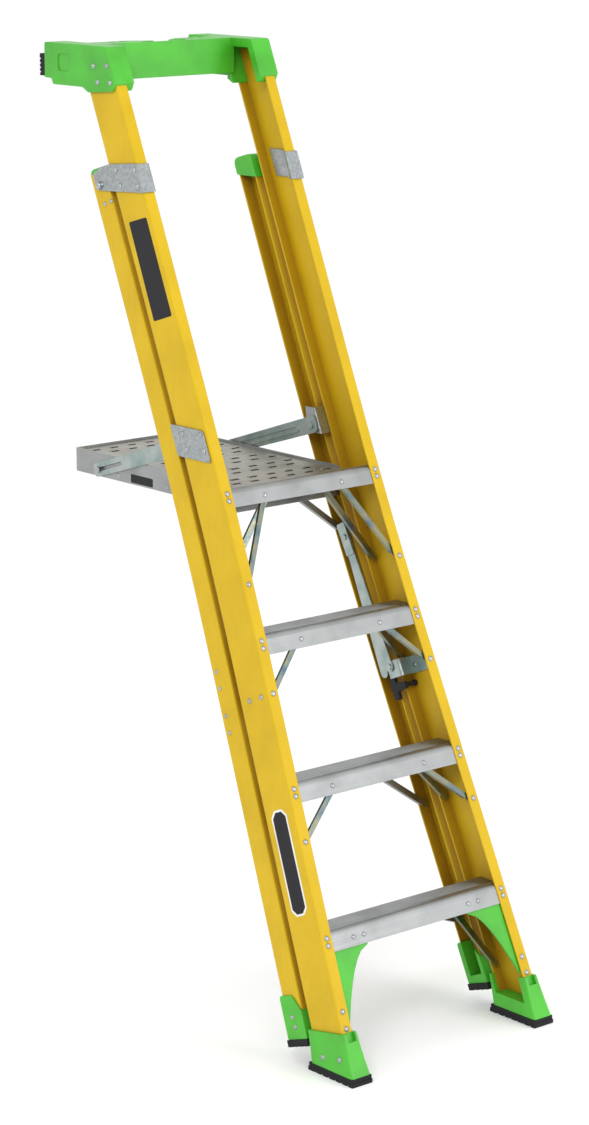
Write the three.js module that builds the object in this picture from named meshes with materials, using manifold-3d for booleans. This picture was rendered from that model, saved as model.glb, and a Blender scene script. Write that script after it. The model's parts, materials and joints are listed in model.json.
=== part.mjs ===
// Platform step ladder, closed and leaning on a wall. Millimetres, +Z up.
// X runs across the ladder, +Y points at the wall, the floor is z = 0.
//
// Most pieces are laid out on the leaning rails, in (u, v, s): u is how far inboard of
// the rail's outer face, v how far behind its front face, s how far up along the rail.
import * as THREE from 'three';
import { mergeVertices } from 'three/addons/utils/BufferGeometryUtils.js';
import Module from 'manifold-3d';

const wasm = await Module();
wasm.setup();

// ---- Driving dimensions -------------------------------------------------------------
const overallHeight = 2168;
const leanDegrees = 22.95;
const topHalfWidth = 230.7; // outer face of a rail, above the splay
const railSplay = 0.0552; // how much each rail moves out per millimetre down
const splayHeight = 1125.8; // where the straight splay would begin
const splayEase = 301.8; // half the height over which it is eased in
const stepRise = 304.8;
const stepCount = 3;

const gap = 0.3; // between pieces fastened together
const pinGap = 0.5; // round a pin, on the radius
const foldGap = 1.5; // inside a sheet folded round an edge

const frontRail = { front: 0, depth: 100, flange: 29, wall: 4, corner: 4 };
const rearRail = { front: frontRail.depth + 17.5, depth: 58, flange: 34, wall: 4, corner: 4 };
const railRings = 12;

const faceSetBack = 2; // step faces, behind the front of the flanges
const stepFaceHeight = 41;
const stepDepth = 78;
const stepWall = 2.8;
const beamFaceHeight = 38;
const beamDepth = 29;

const capHeight = 81;
const capWall = 4;
const capSide = 6; // cap outside the rails
const capArmWidth = 54;
const padThickness = 20;

const deckHalfWidth = 165;
const deckWall = 3.5;
const deckDepth = 586;
const plankCount = 6;

const armWidth = 40;
const armThickness = 3;
const armInner = deckHalfWidth + 4;
const slotLength = 100;
const slotWidth = 9;
const boltRadius = 5;

const hingeV = rearRail.front + 28.5;
const hingeBelowTop = 311.7; // height of the rear frame's hinge below the top
const hingePinRadius = 6;
const bracketWall = 3;

const linkPlane = 52.5; // inboard of the rail, for the front link
const linkWidth = 24;
const linkThickness = 3;

const soleThickness = 18;

// ---- Looks --------------------------------------------------------------------------
const look = (color, metalness, roughness) => ({ color, metalness, roughness });
const fibreglass = look(0xe2b51c, 0, 0.42);
const aluminium = look(0xb4b6b8, 0.9, 0.38);
const zinc = look(0x9fb0ad, 0.9, 0.35);
const steel = look(0x6f7f7c, 0.9, 0.4);
const green = look(0x3fae49, 0, 0.4);
const rubber = look(0x1c1c1d, 0, 0.8);
const blackPlastic = look(0x161618, 0, 0.5);

// ---- The rails' frame ---------------------------------------------------------------
const lean = THREE.MathUtils.degToRad(leanDegrees);
const sinLean = Math.sin(lean);
const cosLean = Math.cos(lean);
const tanLean = Math.tan(lean);
const worldY = (v, s) => s * sinLean + v * cosLean;
const worldZ = (v, s) => s * cosLean - v * sinLean;
const alongRail = (v, z) => (z + v * sinLean) / cosLean;
const behindFront = (v, z) => z * tanLean + v / cosLean;

// ---- Places that follow from the driving dimensions ---------------------------------
const capRearY = overallHeight * tanLean + 225.96;
const beamCrest = (stepCount + 1) * stepRise;
const beamY = beamCrest * tanLean;
const deckTop = beamCrest - 7.2;
const deckBottom = beamCrest - 57.2;
const deckSideTop = beamCrest - 1.2;
const deckFront = beamY + 39.7;
const deckRear = deckFront + deckDepth;
const deckHinge = [beamY + 58.7, beamCrest - 24.2];
const armPivotZ = deckHinge[1] + 101;
const armPivot = [behindFront(frontRail.depth + 23.6, armPivotZ), armPivotZ];
const armStud = [deckHinge[0] + 473, deckHinge[1] - 16];

// Half the width over the rails at a height, with the splay eased in.
function halfWidth(z) {
  const drop = splayHeight - z;
  if (drop >= splayEase) {
    return topHalfWidth + railSplay * drop;
  }
  const eased = Math.max(drop + splayEase, 0);
  return topHalfWidth + railSplay * eased ** 2 / (4 * splayEase);
}

// Takes points from (-side * u, v, s) to the world, following the splay.
function onRail(geometry, side) {
  const at = geometry.attributes.position;
  for (let i = 0; i < at.count; i += 1) {
    const v = at.getY(i);
    const z = worldZ(v, at.getZ(i));
    at.setXYZ(i, at.getX(i) + side * halfWidth(z), worldY(v, at.getZ(i)), z);
  }
  return geometry;
}

const linkFootV = frontRail.depth + 4;
const linkFootS = alongRail(linkFootV, 2.5 * stepRise);
const frontLinkFoot = [linkFootV, linkFootS];
const rearLinkFoot = [rearRail.front + 13, linkFootS - 9.4];
const knee = [rearRail.front + 18.9, linkFootS + 1.0433 * stepRise];

// ---- Outlines -----------------------------------------------------------------------
const rectangle = (a0, a1, b0, b1) => [[a0, b0], [a1, b0], [a1, b1], [a0, b1]];

function disc([a, b], radius, sides = 16) {
  return Array.from({ length: sides }, (_, i) => {
    const turn = 2 * Math.PI * (i + 0.5) / sides;
    return [a + radius * Math.cos(turn), b + radius * Math.sin(turn)];
  });
}

// Rounds every corner of an outline; a corner with its own third value uses that radius.
function rounded(points, radius, cuts = 2, closed = true) {
  const count = points.length;
  return points.flatMap(([a, b, own], i) => {
    const r = own ?? radius;
    if (r === 0 || (!closed && (i === 0 || i === count - 1))) {
      return [[a, b]];
    }
    const here = new THREE.Vector2(a, b);
    const before = new THREE.Vector2(...points[(i + count - 1) % count].slice(0, 2)).sub(here);
    const after = new THREE.Vector2(...points[(i + 1) % count].slice(0, 2)).sub(here);
    const half = Math.abs(before.angleTo(after)) / 2;
    const reach = Math.min(r / Math.tan(half), before.length() * 0.49, after.length() * 0.49);
    const from = here.clone().addScaledVector(before.normalize(), reach);
    const to = here.clone().addScaledVector(after.normalize(), reach);
    return Array.from({ length: cuts + 1 }, (_, k) => {
      const t = k / cuts;
      const p = from.clone().multiplyScalar((1 - t) ** 2);
      p.addScaledVector(here, 2 * t * (1 - t)).addScaledVector(to, t ** 2);
      return [p.x, p.y];
    });
  });
}

// The outline of a folded sheet: the path is one face, the other lies to its left.
function folded(path, thickness) {
  const bend = rounded(path, Math.abs(thickness), 2, false);
  const direction = (i) => {
    const [a, b] = [bend[i], bend[i + 1]];
    return new THREE.Vector2(b[0] - a[0], b[1] - a[1]).normalize();
  };
  const other = bend.map(([a, b], i) => {
    const into = direction(Math.max(i - 1, 0));
    const out = direction(Math.min(i, bend.length - 2));
    const along = into.clone().add(out).normalize();
    const reach = thickness / along.dot(into);
    return [a - along.y * reach, b + along.x * reach];
  });
  return [...bend, ...other.reverse()];
}

const channel = ({ front, depth, flange, wall, corner }) => rounded([
  [0, front], [flange, front, 1], [flange, front + wall, 1], [wall, front + wall, 0],
  [wall, front + depth - wall, 0], [flange, front + depth - wall, 1],
  [flange, front + depth, 1], [0, front + depth],
], corner, 2);

const grown = ({ front, depth, flange, wall }, by) => [
  [-by, front - by], [flange + by, front - by], [flange + by, front + wall + by],
  [wall + by, front + wall + by], [wall + by, front + depth - wall - by],
  [flange + by, front + depth - wall - by], [flange + by, front + depth + by],
  [-by, front + depth + by],
];

// ---- Solids -------------------------------------------------------------------------
function toSolid(geometry) {
  geometry.deleteAttribute('normal');
  geometry.deleteAttribute('uv');
  const merged = mergeVertices(geometry, 1e-4);
  return new wasm.Manifold(new wasm.Mesh({
    numProp: 3,
    vertProperties: merged.attributes.position.array,
    triVerts: Uint32Array.from(merged.index.array),
  }));
}

function extrude(outline, depth, steps = 1, holes = []) {
  const points = (list) => list.map(([a, b]) => new THREE.Vector2(a, b));
  const shape = new THREE.Shape(points(outline));
  shape.holes = holes.map((hole) => new THREE.Path(points(hole)));
  return new THREE.ExtrudeGeometry(shape, { depth, steps, bevelEnabled: false });
}

const axis = (x, y, z) => new THREE.Vector3(x, y, z);

// An outline of (y, z) swept along X.
function sweepX(outline, x0, x1, holes = []) {
  const turn = new THREE.Matrix4().makeBasis(axis(0, 1, 0), axis(0, 0, 1), axis(1, 0, 0));
  const swept = extrude(outline, Math.abs(x1 - x0), 1, holes);
  return swept.applyMatrix4(turn).translate(Math.min(x0, x1), 0, 0);
}

// An outline of (x, y) swept up Z.
const sweepZ = (outline, z0, z1, holes = []) =>
  extrude(outline, z1 - z0, 1, holes).translate(0, 0, z0);

const acrossX = (...rest) => toSolid(sweepX(...rest));
const upZ = (...rest) => toSolid(sweepZ(...rest));

// A plate with a (v, s) outline, from one distance inboard of the rail to another.
const railPlate = (side, outline, u0, u1, holes = []) =>
  toSolid(onRail(sweepX(outline, -side * u0, -side * u1, holes), side));

// A (u, v) section run along the rail.
function railRun(side, section, s0, s1) {
  const flat = section.map(([u, v]) => [-side * u, v]);
  return toSolid(onRail(sweepZ(flat, s0, s1), side));
}

// A (u, v) section run along the rail between level cuts.
function railBetween(side, section, z0, z1, rings = railRings) {
  const flat = section.map(([u, v]) => [-side * u, v]);
  const run = extrude(flat, (z1 - z0) / cosLean, rings);
  const at = run.attributes.position;
  for (let i = 0; i < at.count; i += 1) {
    at.setZ(i, at.getZ(i) + z0 / cosLean + at.getY(i) * tanLean);
  }
  return toSolid(onRail(run, side));
}

// A bar with an (across, out) section from one point to another, its back facing `out`.
function bar(section, from, to, out) {
  const along = to.clone().sub(from);
  const length = along.length();
  along.normalize();
  const across = out.clone().cross(along).normalize();
  const up = along.clone().cross(across);
  const turn = new THREE.Matrix4().makeBasis(across, up, along).setPosition(from);
  return toSolid(extrude(section, length).applyMatrix4(turn));
}

const joined = (...solids) => solids.reduce((all, next) => all.add(next));
const cut = (solid, ...tools) => tools.reduce((left, tool) => left.subtract(tool), solid);

// ---- The scene ----------------------------------------------------------------------
const ladder = new THREE.Group();
ladder.name = 'platform_step_ladder';

function place(name, solid, { color, metalness, roughness }) {
  const mesh = solid.getMesh();
  const geometry = new THREE.BufferGeometry();
  geometry.setAttribute('position', new THREE.BufferAttribute(mesh.vertProperties, 3));
  geometry.setIndex(new THREE.BufferAttribute(mesh.triVerts, 1));
  geometry.computeVertexNormals();
  const material = new THREE.MeshStandardMaterial({ color, metalness, roughness });
  const piece = new THREE.Mesh(geometry, material);
  piece.name = name;
  ladder.add(piece);
}

const sides = [['left', -1], ['right', 1]];
const onBothSides = (name, make, finish) =>
  sides.forEach(([word, side]) => place(`${name}_${word}`, make(side), finish));

// ---- Rails --------------------------------------------------------------------------
const railTopZ = overallHeight - 28;
const railFootZ = soleThickness + 12;
const hingeZ = overallHeight - hingeBelowTop;
const hingeS = alongRail(hingeV, hingeZ);
const rearTopS = hingeS + 32;
const rearFootS = 125;

onBothSides('front_rail', (side) =>
  railBetween(side, channel(frontRail), railFootZ, railTopZ), fibreglass);

const rearHole = (side) =>
  railPlate(side, disc([hingeV, hingeS], hingePinRadius + pinGap), -1, rearRail.wall + 1);

function rearRailSolid(side) {
  const steps = railRings;
  const flat = channel(rearRail).map(([u, v]) => [-side * u, v]);
  const run = extrude(flat, rearTopS - rearFootS, steps).translate(0, 0, rearFootS);
  return cut(toSolid(onRail(run, side)), rearHole(side));
}
onBothSides('rear_rail', rearRailSolid, fibreglass);

// ---- Steps --------------------------------------------------------------------------
// A channel of sheet seen from its end: front face, rounded nose, groove, ribbed tread, rear face.
function stepOutline(crest, depth, face, ribs) {
  const frontY = behindFront(faceSetBack, crest);
  const at = (back, down) => [frontY + back - down * tanLean, crest - down];
  const top = 5;
  const tread = [];
  const ribStart = 31;
  const ribPitch = (depth - ribStart - 4) / Math.max(ribs, 1);
  for (let i = 0; i < ribs; i += 1) {
    const y = frontY + ribStart + i * ribPitch;
    tread.push([y, crest - top], [y + 0.8, crest - top + 1.1], [y + 2.4, crest - top + 1.1]);
    tread.push([y + 3.2, crest - top]);
  }
  const outer = [
    at(0, face), at(0, 9), at(0.9, 4.5), at(3.2, 1.5), at(7, 0.2), at(12, 0),
    at(18, 0.6), at(22, 2), [frontY + 22.6, crest - top],
    ...tread, at(depth - 2, top), at(depth, top + 2),
    at(depth, face - 3),
  ];
  const inner = [
    at(depth - stepWall, face - 3), at(depth - stepWall, top + stepWall),
    [frontY + 24, crest - top - stepWall], at(20, 4.4), at(14, stepWall),
    at(8, stepWall + 0.2), at(4.4, 5), at(stepWall + 0.2, 10), at(stepWall, face),
  ];
  return [...outer, ...inner];
}

// The step's ends stop at the rails' webs, and its face between their flanges.
function betweenRails(outline, crest) {
  const wide = sweepX(outline, -1, 1);
  const at = wide.attributes.position;
  for (let i = 0; i < at.count; i += 1) {
    const inside = halfWidth(at.getZ(i)) - frontRail.wall - 1.5 * gap;
    at.setX(i, Math.sign(at.getX(i)) * inside);
  }
  const s0 = alongRail(0, crest - 2 * stepFaceHeight);
  const s1 = alongRail(0, crest + stepFaceHeight);
  const flanges = sides.map(([, side]) => railRun(side, [
    [-1, -20], [frontRail.flange + gap, -20],
    [frontRail.flange + gap, frontRail.wall + gap], [-1, frontRail.wall + gap],
  ], s0, s1));
  return cut(toSolid(wide), ...flanges);
}

for (let n = 1; n <= stepCount; n += 1) {
  const crest = n * stepRise;
  place(`step_${n}`, betweenRails(stepOutline(crest, stepDepth, stepFaceHeight, 8), crest), aluminium);
}
place('platform_front_beam',
  betweenRails(stepOutline(beamCrest, beamDepth, beamFaceHeight, 0), beamCrest), aluminium);

// ---- Braces -------------------------------------------------------------------------
const braceDepth = 8;
const braceSection = (width, depth, wall) => [
  [-width / 2, -depth], [wall - width / 2, -depth], [wall - width / 2, -wall],
  [width / 2 - wall, -wall], [width / 2 - wall, -depth], [width / 2, -depth],
  [width / 2, 0], [-width / 2, 0],
];
const forward = axis(0, -cosLean, sinLean);

// A pressed channel with flat ends, from (x, v, z) to (x, v, z).
function brace(side, from, to, width, tab = 22) {
  const point = ([x, v, z]) => axis(side * x, behindFront(v, z), z);
  const [a, b] = [point(from), point(to)];
  const along = b.clone().sub(a).normalize();
  const out = forward.clone();
  const inner = (p, by) => p.clone().addScaledVector(along, by);
  const flat = rectangle(-width / 2, width / 2, -2, 0);
  return joined(
    bar(braceSection(width, braceDepth, 2), inner(a, tab), inner(b, -tab), out),
    bar(flat, a, inner(a, tab + 1), out),
    bar(flat, inner(b, -tab - 1), b, out),
  );
}

const flangeMiddle = (z, inset) => halfWidth(z) - inset;
const braceV = frontRail.wall + 1.5;

for (let n = 2; n <= stepCount; n += 1) {
  const crest = n * stepRise;
  const footZ = crest - 125;
  onBothSides(`step_${n}_front_brace`, (side) =>
    brace(side, [118, braceV, crest - 18], [flangeMiddle(footZ, 15), braceV, footZ], 12), zinc);
}
const beamFootZ = beamCrest - 205;
onBothSides('platform_front_brace', (side) =>
  brace(side, [104, braceV, beamCrest - 12], [flangeMiddle(beamFootZ, 16), braceV, beamFootZ], 12), zinc);

const backV = frontRail.depth - frontRail.wall - braceDepth - 2 * gap;
const stepRearV = faceSetBack + stepDepth * cosLean + 3;
for (let n = 1; n <= stepCount; n += 1) {
  const crest = n * stepRise;
  const [inset, drop] = n === 1 ? [19, 200] : [14, 140];
  const footZ = crest - drop;
  onBothSides(`step_${n}_rear_brace`, (side) =>
    brace(side, [152, stepRearV, crest - 22], [flangeMiddle(footZ, inset), backV, footZ], 14), steel);
}
const backFootZ = beamCrest - 222;
onBothSides('platform_rear_brace', (side) =>
  brace(side, [84, 34, beamCrest - 36], [flangeMiddle(backFootZ, 13), backV, backFootZ], 14), steel);

// A green gusset under the first step, its free edge a hollow curve.
function cornerBrace(side) {
  const topZ = stepRise - 20;
  const footZ = 112;
  const insetTop = 150;
  const edge = Array.from({ length: 9 }, (_, i) => {
    const t = i / 8;
    const x = insetTop + (flangeMiddle(footZ, frontRail.flange + 2) - insetTop) * t ** 0.72;
    return [side * x, stepRise - stepFaceHeight - 4 + (footZ - stepRise + stepFaceHeight + 4) * t ** 1.3];
  });
  const outline = [
    ...edge, [side * flangeMiddle(footZ, 7), footZ], [side * flangeMiddle(topZ, 7), topZ],
    [side * insetTop, topZ],
  ];
  const plate = extrude(outline, 5);
  const at = plate.attributes.position;
  for (let i = 0; i < at.count; i += 1) {
    const [v, z] = [frontRail.wall + 6.3 - at.getZ(i), at.getY(i)];
    at.setXYZ(i, at.getX(i), behindFront(v, z), z);
  }
  return toSolid(plate);
}
sides.forEach(([word, side]) => place(`corner_brace_${word}`, cornerBrace(side), green));

// ---- Rear frame's crossbars ---------------------------------------------------------
function crossbar(top, height) {
  const low = top - height;
  const [v0, v1] = [rearRail.front + 11, rearRail.front + 41];
  const point = (v, z) => [behindFront(v, z), z];
  const outline = folded([point(v0, low), point(v0, top), point(v1, top), point(v1, low)], -2.5);
  const wide = sweepX(outline, -1, 1);
  const at = wide.attributes.position;
  for (let i = 0; i < at.count; i += 1) {
    const inside = halfWidth(at.getZ(i)) - rearRail.wall - 1.5 * gap;
    at.setX(i, Math.sign(at.getX(i)) * inside);
  }
  return toSolid(wide);
}
// Each crossbar carries its two braces, spot-welded to its back.
const rearV = rearRail.front + rearRail.depth - rearRail.wall - braceDepth - 2 * gap;
const crossbars = [
  { rise: 1, top: 42, height: 36, drop: 0.4 * stepRise },
  { rise: 2, top: 42, height: 36, drop: 172 },
  { rise: stepCount + 1, top: 61, height: 22, drop: 172 },
];
crossbars.forEach(({ rise, top, height, drop }, i) => {
  const level = rise * stepRise;
  const footZ = level - drop;
  const braces = sides.map(([, side]) => brace(side,
    [100, rearV - 6, level - top - height / 2], [flangeMiddle(footZ, 17), rearV, footZ], 15));
  place(`rear_crossbar_${i + 1}`, joined(crossbar(level - top, height), ...braces), aluminium);
});

// ---- Boots and soles ----------------------------------------------------------------
// A shoe moulded round the foot of the front rail, flaring towards the sole.
function frontBoot(side) {
  const section = rounded(rectangle(-3.5, 33, -10, frontRail.depth + 5.5), 7, 3);
  const [z0, z1] = [soleThickness + gap, 150];
  const run = extrude(section.map(([u, v]) => [-side * u, v]), 1, 4);
  const at = run.attributes.position;
  for (let i = 0; i < at.count; i += 1) {
    const t = 1 - at.getZ(i);
    const u = -side * at.getX(i);
    const v = at.getY(i);
    const flare = t ** 1.6;
    const wide = u < 15 ? -6 * flare : 12 * flare;
    const deep = v < 50 ? -2.5 * flare : 8 * flare;
    const s = alongRail(v + deep, z0 + (z1 - z0) * at.getZ(i));
    at.setXYZ(i, -side * (u + wide), v + deep, s);
  }
  const shoe = toSolid(onRail(run, side));
  const top = railPlate(side, [[-60, 94], [-12.5, 110.6], [111.6, 138.9], [160, 150], [160, 260],
    [-60, 260]], -40, 90);
  const notch = railRun(side, [[5, -30], [27, -30], [27, -1], [5, -1]], 92, 130);
  const rail = railBetween(side, grown(frontRail, gap), railFootZ - gap, 400, 1);
  const well = railBetween(side, rectangle(frontRail.wall - 1, 80, frontRail.wall + 6,
    frontRail.depth - frontRail.wall - gap / 2), soleThickness + 30, 400, 1);
  return cut(shoe, top, notch, rail, well);
}
onBothSides('front_boot', frontBoot, green);

// A ribbed rubber sole: the ribs run across, the upper step is narrower.
function comb(a0, a1, foot, root, top, teeth) {
  const pitch = (a1 - a0) / teeth;
  const points = [];
  for (let i = 0; i < teeth; i += 1) {
    const a = a0 + i * pitch;
    points.push([a, foot], [a + pitch * 0.62, foot]);
    if (i < teeth - 1) {
      points.push([a + pitch * 0.72, root], [a + pitch * 0.9, root]);
    }
  }
  points.push([a1, foot], [a1, top], [a0, top]);
  return points;
}

function frontSole(side) {
  const front = behindFront(-13, soleThickness);
  const rear = behindFront(frontRail.depth + 18, soleThickness);
  const outer = halfWidth(soleThickness) + 10;
  const inner = halfWidth(soleThickness) - 46;
  const tread = acrossX(comb(front - 2, rear + 2, 0, 4, 9, 7), side * (inner - 1), side * (outer + 1));
  const upper = acrossX(rectangle(front, rear, 9, soleThickness), side * inner, side * outer);
  return joined(tread, upper);
}
onBothSides('front_sole', frontSole, rubber);

const rearBoot = {
  front: rearRail.front - 2, rear: rearRail.front + rearRail.depth + 5.5,
  outer: -3.5, inner: 40, topFront: 209, topRear: 221,
};
function rearShoe(side) {
  const soleTop = (v) => 118 + (v - rearBoot.front) * 0.083;
  const outline = rounded([
    [rearBoot.front, soleTop(rearBoot.front)], [rearBoot.rear, soleTop(rearBoot.rear)],
    [rearBoot.rear, rearBoot.topRear, 8], [rearBoot.front + 24, rearBoot.topRear - 4, 8],
    [rearBoot.front, rearBoot.topFront - 30, 8],
  ], 2, 2);
  const body = railPlate(side, outline, rearBoot.outer, rearBoot.inner);
  const rail = railRun(side, grown(rearRail, gap), rearFootS - gap, 400);
  const well = railRun(side, rectangle(rearRail.wall - 1, 60, rearRail.front + 9,
    rearRail.front + rearRail.depth - 9), 140, 400);
  return cut(body, rail, well);
}
onBothSides('rear_boot', rearShoe, green);

function rearSole(side) {
  const slope = 0.083;
  const outline = comb(rearBoot.front - 1, rearBoot.rear + 2, 0, 4, 15.4, 4)
    .map(([v, s]) => [v, s + 102 + (v - rearBoot.front) * slope]);
  return railPlate(side, outline, rearBoot.outer - 3, rearBoot.inner + 3);
}
onBothSides('rear_sole', rearSole, rubber);

function rearCap(side) {
  const [v0, v1] = [rearRail.front - 3, rearRail.front + rearRail.depth + 3];
  const outline = rounded([
    [v0, alongRail(v0, hingeZ - 7), 1], [v1, alongRail(v1, hingeZ - 7), 1],
    [v1, alongRail(v1, hingeZ + 29), 18], [v0, rearTopS + 5, 12],
  ], 2, 4);
  const inner = rearRail.flange + 3;
  const body = railPlate(side, outline, gap + rearRail.wall, inner);
  const rail = railRun(side, grown(rearRail, gap), rearTopS - 100, rearTopS + gap);
  const well = railRun(side, rectangle(rearRail.wall - 1, inner - 3, rearRail.front + 8,
    rearRail.front + rearRail.depth - 8), rearTopS - 100, rearTopS);
  return cut(body, rail, well);
}
onBothSides('rear_rail_cap', rearCap, green);

// ---- Brackets -----------------------------------------------------------------------
function upperBracketSolid(side) {
  const rear = hingeV + 15;
  const outline = rounded([
    [-gap - bracketWall, hingeZ - 3, 4], [rear, hingeZ - 12, 16], [rear, hingeZ + 24, 16],
    [rear - 38, hingeZ + 43, 12], [rear - 68, hingeZ + 51, 12], [-gap - bracketWall, hingeZ + 60, 4],
  ], 8, 3).map(([v, z]) => [v, alongRail(v, z)]);
  const plate = railPlate(side, outline, -gap - bracketWall, -gap);
  const edge = frontRail.flange + foldGap;
  const inside = frontRail.wall + foldGap;
  const path = [
    [-gap - bracketWall, -gap], [edge, -gap], [edge, inside], [frontRail.wall + gap, inside],
    [frontRail.wall + gap, frontRail.depth - 22],
  ];
  const wrap = railBetween(side, folded(path, -bracketWall), hingeZ - 2, hingeZ + 59, 1);
  const pin = railPlate(side, disc([hingeV, hingeS], hingePinRadius), -gap - 1, 11);
  const head = railPlate(side, disc([hingeV, hingeS], 10), -gap - bracketWall - 4, -gap - 1);
  const nut = railPlate(side, disc([hingeV, hingeS], 10, 6), rearRail.wall + 1, 11);
  return joined(plate, wrap, pin, head, nut);
}
onBothSides('upper_bracket', upperBracketSolid, zinc);

const armV = (armPivot[0] - armPivot[1] * tanLean) * cosLean;
const armS = alongRail(armV, armPivot[1]);
const earInner = halfWidth(armPivot[1]) - armInner - armThickness - 1;
function armBracket(side) {
  const [low, high] = [armPivot[1] - 19, armPivot[1] + 49];
  const foldV = frontRail.depth + gap;
  const rear = rearRail.front - 2.5;
  const outline = rounded([[8, low], [rear, low], [rear, high], [8, high]], 7, 3)
    .map(([v, z]) => [v, alongRail(v, z)]);
  const face = -foldGap / 2;
  const plate = railPlate(side, outline, face - bracketWall, face);
  const tongue = folded([
    [face - bracketWall, foldV], [earInner, foldV], [earInner, armV + 15],
  ], bracketWall);
  const ear = railBetween(side, tongue, low + 2, high - 8, 1);
  const corners = railPlate(side, [
    [armV - 6, alongRail(armV, high) + 30], [armV + 40, alongRail(armV, high) + 30],
    [armV + 40, armS + 3], [armV + 17, armS + 3],
  ], earInner - 9, earInner + 9);
  const hole = railPlate(side, disc([armV, armS], boltRadius + pinGap), earInner - 9, earInner + 9);
  return cut(joined(plate, ear), corners, hole);
}
onBothSides('arm_bracket', armBracket, zinc);

// A folded bracket on the web that carries the spreader's front link.
function spreaderBracket(side) {
  const s = frontLinkFoot[1] - 7;
  const face = linkPlane - 1;
  const path = [
    [frontRail.wall + gap, 14], [frontRail.wall + gap, 74], [face - bracketWall, 74],
    [face - bracketWall, frontLinkFoot[0] + 11],
  ];
  const strap = railRun(side, folded(path, -bracketWall), s - 20, s + 20);
  const hole = railPlate(side, disc(frontLinkFoot, boltRadius + pinGap), face - 12, face + 12);
  return cut(strap, hole);
}
onBothSides('spreader_bracket', spreaderBracket, zinc);

// ---- Spreader -----------------------------------------------------------------------
// A flat link with rounded ends between two (v, s) points.
function linkOutline([v0, s0], [v1, s1], width) {
  const turn = Math.atan2(s1 - s0, v1 - v0);
  const end = ([v, s], start) => Array.from({ length: 7 }, (_, i) => {
    const a = turn + start + Math.PI * (i / 6 - 0.5);
    return [v + width / 2 * Math.cos(a), s + width / 2 * Math.sin(a)];
  });
  return [...end([v1, s1], 0), ...end([v0, s0], Math.PI)];
}

// Links lie in planes of constant x, so they are placed by x and not by the splay.
const inWorld = (points) => points.map(([v, s]) => [worldY(v, s), worldZ(v, s)]);
const linkX = halfWidth(worldZ(...frontLinkFoot)) - linkPlane;
const plateX = (side, points, x0, x1) => acrossX(inWorld(points), side * x0, side * x1);

// The inboard link, with a doubler over the knee that stops the pair when it is straight.
function frontLink(side) {
  const outer = linkX;
  const inner = outer - linkThickness;
  const body = plateX(side, linkOutline(frontLinkFoot, knee, linkWidth), inner, outer);
  const pin = plateX(side, disc(frontLinkFoot, boltRadius), inner + 1, outer + 9);
  const nut = plateX(side, disc(frontLinkFoot, 8, 12), outer + 5.5, outer + 9);
  const head = plateX(side, disc(frontLinkFoot, 8, 12), inner - 2.5, inner + 1);
  const [dv, ds] = [knee[0] - frontLinkFoot[0], knee[1] - frontLinkFoot[1]];
  const turn = Math.atan2(ds, dv);
  const doubler = rectangle(-44, 34, -linkWidth / 2 - 1.5, linkWidth / 2 + 1.5).map(([a, b]) => [
    knee[0] + a * Math.cos(turn) - b * Math.sin(turn),
    knee[1] + a * Math.sin(turn) + b * Math.cos(turn),
  ]);
  const stop = plateX(side, rounded(doubler, 4, 2), inner - linkThickness, inner + 0.5);
  const knob = plateX(side, disc(knee, 7, 12), inner - linkThickness - 3, inner - 1);
  return joined(body, pin, nut, head, stop, knob);
}
onBothSides('spreader_front_link', frontLink, zinc);

function rearLink(side) {
  const inner = linkX + 1;
  const outer = inner + linkThickness;
  const body = plateX(side, linkOutline(rearLinkFoot, knee, linkWidth), inner, outer);
  const web = halfWidth(worldZ(...rearLinkFoot)) - rearRail.wall - 3 * gap;
  const post = plateX(side, disc(rearLinkFoot, boltRadius + 2), outer - 1, web);
  const knob = plateX(side, disc(knee, 7, 12), outer - 1, outer + 3);
  return joined(body, post, knob);
}
onBothSides('spreader_rear_link', rearLink, zinc);

// ---- Latch --------------------------------------------------------------------------
const latchPivot = [frontRail.depth - 12, alongRail(frontRail.depth - 12, 2.374 * stepRise)];
function latchLever() {
  const [v, s] = latchPivot;
  const outline = rounded([
    [v - 9, s + 8], [v + 21, s + 10], [v + 24, s + 29, 5], [v + 38, s + 29, 5], [v + 41, s],
    [v + 37, s - 29, 7], [v + 20, s - 31, 7], [v + 22, s - 11], [v - 9, s - 8],
  ], 3, 2);
  const outer = halfWidth(worldZ(v, s)) - frontRail.flange - 8;
  const web = halfWidth(worldZ(v, s)) - frontRail.wall - 3 * gap;
  const body = acrossX(inWorld(outline), outer - 9, outer);
  const post = acrossX(inWorld(disc([v, s], 5)), outer - 1, web);
  const foot = acrossX(inWorld(disc([v, s], 7.2)), web - 5, web);
  return joined(body, post, foot);
}
place('latch_lever', latchLever(), blackPlastic);

// ---- Top cap ------------------------------------------------------------------------
const capFrontV = -5;
const spanFrontV = 58;
const capLow = overallHeight - capHeight;
const spanRearY = capRearY - 92;
const armOuter = topHalfWidth + capSide;
const armInside = armOuter - capArmWidth;

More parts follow.
